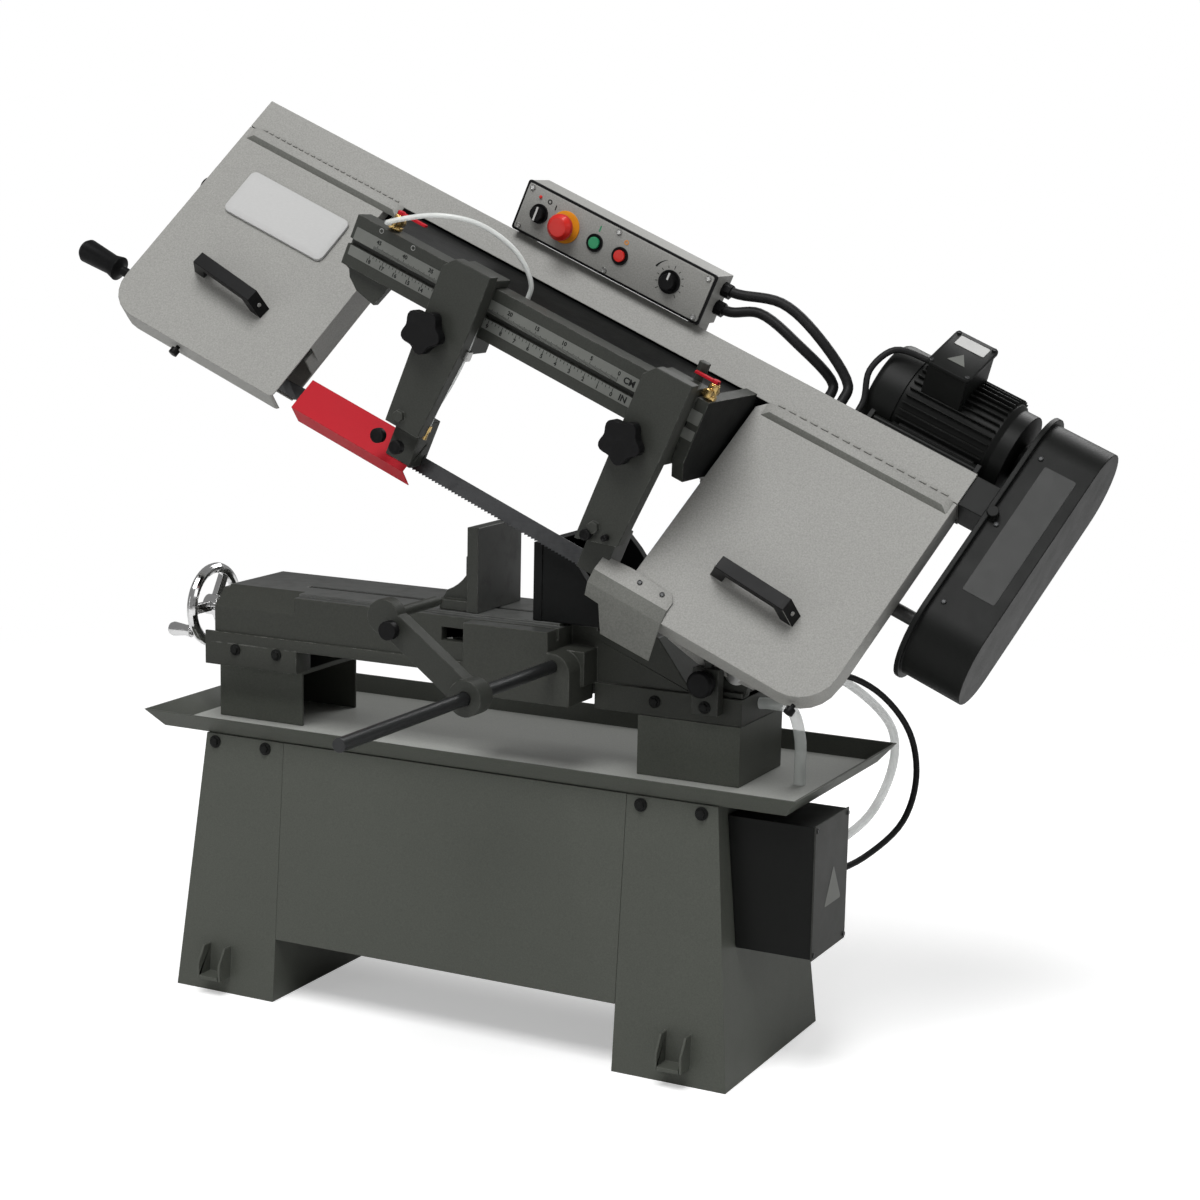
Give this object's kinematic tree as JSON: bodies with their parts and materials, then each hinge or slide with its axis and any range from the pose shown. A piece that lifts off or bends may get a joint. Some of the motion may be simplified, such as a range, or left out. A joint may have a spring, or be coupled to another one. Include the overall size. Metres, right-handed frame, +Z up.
{
  "type": "horizontal metal band saw",
  "caption": "Horizontal metal-cutting band saw on a sheet-steel stand, raised bow with doors, guide arms, vise, coolant tray, motor and belt drive.",
  "frame": {"origin": "centre of the bounding box at floor level", "axes": "+X from the idler-wheel end to the motor end, +Y from the operator to the back, +Z up"},
  "size_m": [1.6716, 1.0416, 1.4342],
  "materials": {
    "light_grey_paint": "satin, speckled",
    "olive_grey_paint": "satin",
    "dark_grey_casting": "painted casting",
    "black_paint": "satin",
    "black_plastic": "matte",
    "steel": "brushed",
    "chrome": "polished",
    "red_paint": "gloss",
    "red_plastic": "gloss",
    "green_plastic": "gloss",
    "cast_iron": "machined casting",
    "rubber": "matte",
    "clear_tube": "clear"
  },
  "bodies": {
    "base": {"left_leg": "olive_grey_paint", "right_leg": "olive_grey_paint", "front_panel": "olive_grey_paint", "rear_panel": "olive_grey_paint", "chip_tray": "olive_grey_paint", "left_pedestal": "olive_grey_paint", "right_pedestal": "olive_grey_paint", "vise_bed": "olive_grey_paint", "fixed_jaw": "dark_grey_casting", "stop_rod": "steel", "pivot_bracket": "dark_grey_casting", "pivot_shaft": "steel", "switch_cabinet": "black_paint", "feed_valve": "dark_grey_casting", "coolant_tank": "black_plastic", "cabinet_cable": "rubber", "coolant_supply_hose": "clear_tube", "drain_hose": "clear_tube"},
    "bow": {"bow_frame": "light_grey_paint", "guide_beam": "dark_grey_casting", "idler_slide": "cast_iron", "lift_handle": "black_plastic", "gearbox": "cast_iron", "motor": "black_paint", "motor_mount": "black_paint", "belt_guard": "black_paint", "control_box": "light_grey_paint", "drive_belt": "rubber", "blade": "steel", "conduit_front": "rubber", "conduit_rear": "rubber", "left_coolant_tube": "clear_tube", "motor_cable": "rubber"},
    "left_door": {"left_door": "light_grey_paint"},
    "right_door": {"right_door": "light_grey_paint"},
    "idler_wheel": {"idler_wheel": "cast_iron"},
    "drive_wheel": {"drive_wheel": "cast_iron"},
    "motor_pulley": {"motor_pulley": "cast_iron"},
    "gearbox_pulley": {"gearbox_pulley": "cast_iron"},
    "left_arm": {"left_guide_arm": "dark_grey_casting", "blade_guard": "red_paint"},
    "right_arm": {"right_guide_arm": "dark_grey_casting"},
    "left_arm_knob": {"left_arm_knob": "black_plastic"},
    "right_arm_knob": {"right_arm_knob": "black_plastic"},
    "tension_knob": {"tension_knob": "black_plastic"},
    "power_selector": {"power_selector": "black_plastic"},
    "emergency_stop": {"emergency_stop": "red_plastic"},
    "start_button": {"start_button": "green_plastic"},
    "stop_button": {"stop_button": "red_plastic"},
    "speed_dial": {"speed_dial": "black_plastic"},
    "left_valve_lever": {"left_valve_lever": "red_paint"},
    "right_valve_lever": {"right_valve_lever": "red_paint"},
    "jaw": {"movable_jaw": "dark_grey_casting"},
    "screw": {"leadscrew": "steel", "handwheel": "chrome"},
    "grip": {"handwheel_grip": "chrome"},
    "stop_arm": {"stop_arm": "dark_grey_casting"},
    "stop_arm_knob": {"stop_arm_knob": "black_plastic"},
    "cabinet_door": {"cabinet_door": "black_paint"},
    "feed_knob": {"feed_knob": "black_plastic"}
  },
  "joints": [
    {"name": "bow_hinge", "type": "hinge", "parent": "base", "child": "bow", "pos_m": [0.3582, 0.23049, 0.6], "axis": [0, 1, 0], "range_deg": [-23.1, 12]},
    {"name": "left_door_hinge", "type": "hinge", "parent": "bow", "child": "left_door", "pos_m": [-0.43469, 0.28095, 1.3256], "axis": [-0.9198, 0, 0.3923], "range_deg": [0, 95]},
    {"name": "right_door_hinge", "type": "hinge", "parent": "bow", "child": "right_door", "pos_m": [0.48973, 0.28095, 0.9313], "axis": [-0.9198, 0, 0.3923], "range_deg": [0, 95]},
    {"name": "gearbox_pulley_turn", "type": "hinge", "parent": "bow", "child": "gearbox_pulley", "pos_m": [0.65303, 0.24913, 0.66677], "axis": [0.9198, 0, -0.3923], "continuous": true},
    {"name": "motor_pulley_turn", "type": "hinge", "parent": "bow", "child": "motor_pulley", "pos_m": [0.74684, 0.43525, 0.88669], "axis": [0.9198, 0, -0.3923], "continuous": true},
    {"name": "drive_wheel_turn", "type": "hinge", "parent": "bow", "child": "drive_wheel", "pos_m": [0.42091, 0.20144, 0.76997], "axis": [0.241, -0.7891, 0.565], "continuous": true},
    {"name": "idler_wheel_turn", "type": "hinge", "parent": "bow", "child": "idler_wheel", "pos_m": [-0.50351, 0.20144, 1.16427], "axis": [0.241, -0.7891, 0.565], "continuous": true},
    {"name": "left_arm_slide", "type": "slide", "parent": "bow", "child": "left_arm", "axis": [0.9198, 0, -0.3923], "range_m": [-0.095, 0.11]},
    {"name": "right_arm_slide", "type": "slide", "parent": "bow", "child": "right_arm", "axis": [0.9198, 0, -0.3923], "range_m": [-0.12, 0]},
    {"name": "left_arm_knob_turn", "type": "hinge", "parent": "left_arm", "child": "left_arm_knob", "pos_m": [-0.11194, 0.02849, 1.0908], "axis": [0, 1, 0], "range_deg": [-180, 180]},
    {"name": "right_arm_knob_turn", "type": "hinge", "parent": "right_arm", "child": "right_arm_knob", "pos_m": [0.22196, 0.02849, 0.94839], "axis": [0, 1, 0], "range_deg": [-180, 180]},
    {"name": "tension_knob_turn", "type": "hinge", "parent": "bow", "child": "tension_knob", "pos_m": [-0.66258, 0.26073, 1.28837], "axis": [0.9198, 0, -0.3923], "range_deg": [-360, 360]},
    {"name": "power_selector_turn", "type": "hinge", "parent": "bow", "child": "power_selector", "pos_m": [-0.06234, 0.29149, 1.26316], "axis": [0, 1, 0], "range_deg": [-45, 45]},
    {"name": "emergency_stop_push", "type": "slide", "parent": "bow", "child": "emergency_stop", "axis": [0, 1, 0], "range_m": [0, 0.004]},
    {"name": "start_button_push", "type": "slide", "parent": "bow", "child": "start_button", "axis": [0, 1, 0], "range_m": [0, 0.004], "stiffness_N_per_m": 400, "springref_m": -0.001},
    {"name": "stop_button_push", "type": "slide", "parent": "bow", "child": "stop_button", "axis": [0, 1, 0], "range_m": [0, 0.004], "stiffness_N_per_m": 400, "springref_m": -0.001},
    {"name": "speed_dial_turn", "type": "hinge", "parent": "bow", "child": "speed_dial", "pos_m": [0.16578, 0.29149, 1.16586], "axis": [0, 1, 0], "range_deg": [-135, 135]},
    {"name": "left_valve_turn", "type": "hinge", "parent": "bow", "child": "left_valve_lever", "pos_m": [-0.20414, 0.11249, 1.25951], "axis": [0.3923, 0, 0.9198], "range_deg": [0, 90]},
    {"name": "right_valve_turn", "type": "hinge", "parent": "bow", "child": "right_valve_lever", "pos_m": [0.32935, 0.11249, 1.03195], "axis": [-0.3923, 0, -0.9198], "range_deg": [0, 90]},
    {"name": "jaw_slide", "type": "slide", "parent": "base", "child": "jaw", "axis": [1, 0, 0], "range_m": [-0.275, 0.09]},
    {"name": "screw_turn", "type": "hinge", "parent": "base", "child": "screw", "pos_m": [-0.61071, 0.18649, 0.602], "axis": [1, 0, 0], "continuous": true},
    {"name": "grip_spin", "type": "hinge", "parent": "screw", "child": "grip", "pos_m": [-0.61071, 0.13763, 0.56383], "axis": [1, 0, 0], "continuous": true},
    {"name": "stop_arm_slide", "type": "slide", "parent": "base", "child": "stop_arm", "axis": [0, 1, 0], "range_m": [-0.25, 0.04]},
    {"name": "stop_arm_knob_turn", "type": "hinge", "parent": "stop_arm", "child": "stop_arm_knob", "pos_m": [-0.02771, -0.19751, 0.682], "axis": [0, 1, 0], "range_deg": [-180, 180]},
    {"name": "cabinet_door_hinge", "type": "hinge", "parent": "base", "child": "cabinet_door", "pos_m": [0.52629, 0.20399, 0.304], "axis": [0, 0, 1], "range_deg": [0, 100]},
    {"name": "feed_knob_turn", "type": "hinge", "parent": "base", "child": "feed_knob", "pos_m": [0.32029, 0.11149, 0.586], "axis": [0, 1, 0], "range_deg": [-150, 150]}
  ],
  "couplings": [
    {"joint": "motor_pulley_turn", "follows": "gearbox_pulley_turn", "ratio": 1.96},
    {"joint": "drive_wheel_turn", "follows": "gearbox_pulley_turn", "ratio": 0.04},
    {"joint": "idler_wheel_turn", "follows": "gearbox_pulley_turn", "ratio": 0.04}
  ]
}
